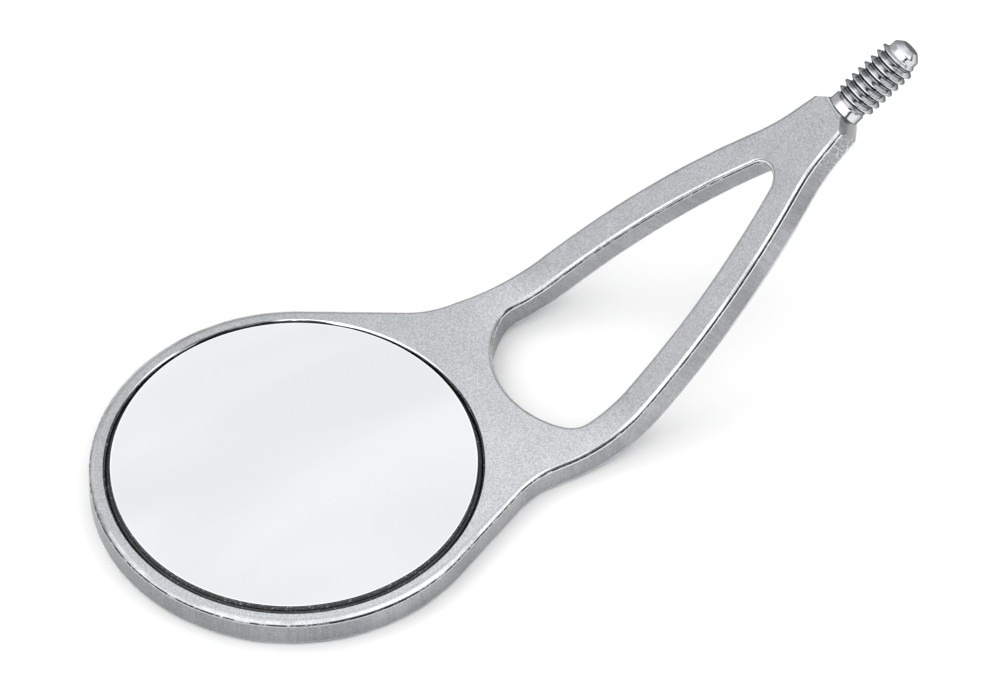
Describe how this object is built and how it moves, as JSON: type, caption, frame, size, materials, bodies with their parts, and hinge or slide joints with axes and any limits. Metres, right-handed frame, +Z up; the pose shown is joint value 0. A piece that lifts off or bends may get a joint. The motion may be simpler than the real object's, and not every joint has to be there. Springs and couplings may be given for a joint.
{
  "type": "mouth mirror head",
  "caption": "Screw-in dental mouth mirror head: a round front-surface mirror in a metal ring, with an open two-armed stem bent up to a threaded stud.",
  "frame": {"origin": "centre of the frame's flat back face, under the middle of the mirror", "axes": "+Z up out of the mirror face, +X along the stem, +Y across it"},
  "size_m": [0.0538, 0.0244, 0.019],
  "materials": {
    "satin_steel": "fine bead-blasted satin",
    "bright_steel": "bright turned",
    "plain_glass": "opaque from the front, with a ground edge",
    "mirror_film": "front-surface mirror film",
    "dark_seal": "cured sealing compound",
    "bond": "cured adhesive"
  },
  "bodies": {
    "root": {"mirror_frame": "satin_steel", "threaded_stud": "bright_steel", "mirror_glass": "plain_glass", "reflective_coating": "mirror_film", "edge_seal": "dark_seal", "bond_layer": "bond"}
  },
  "joints": []
}
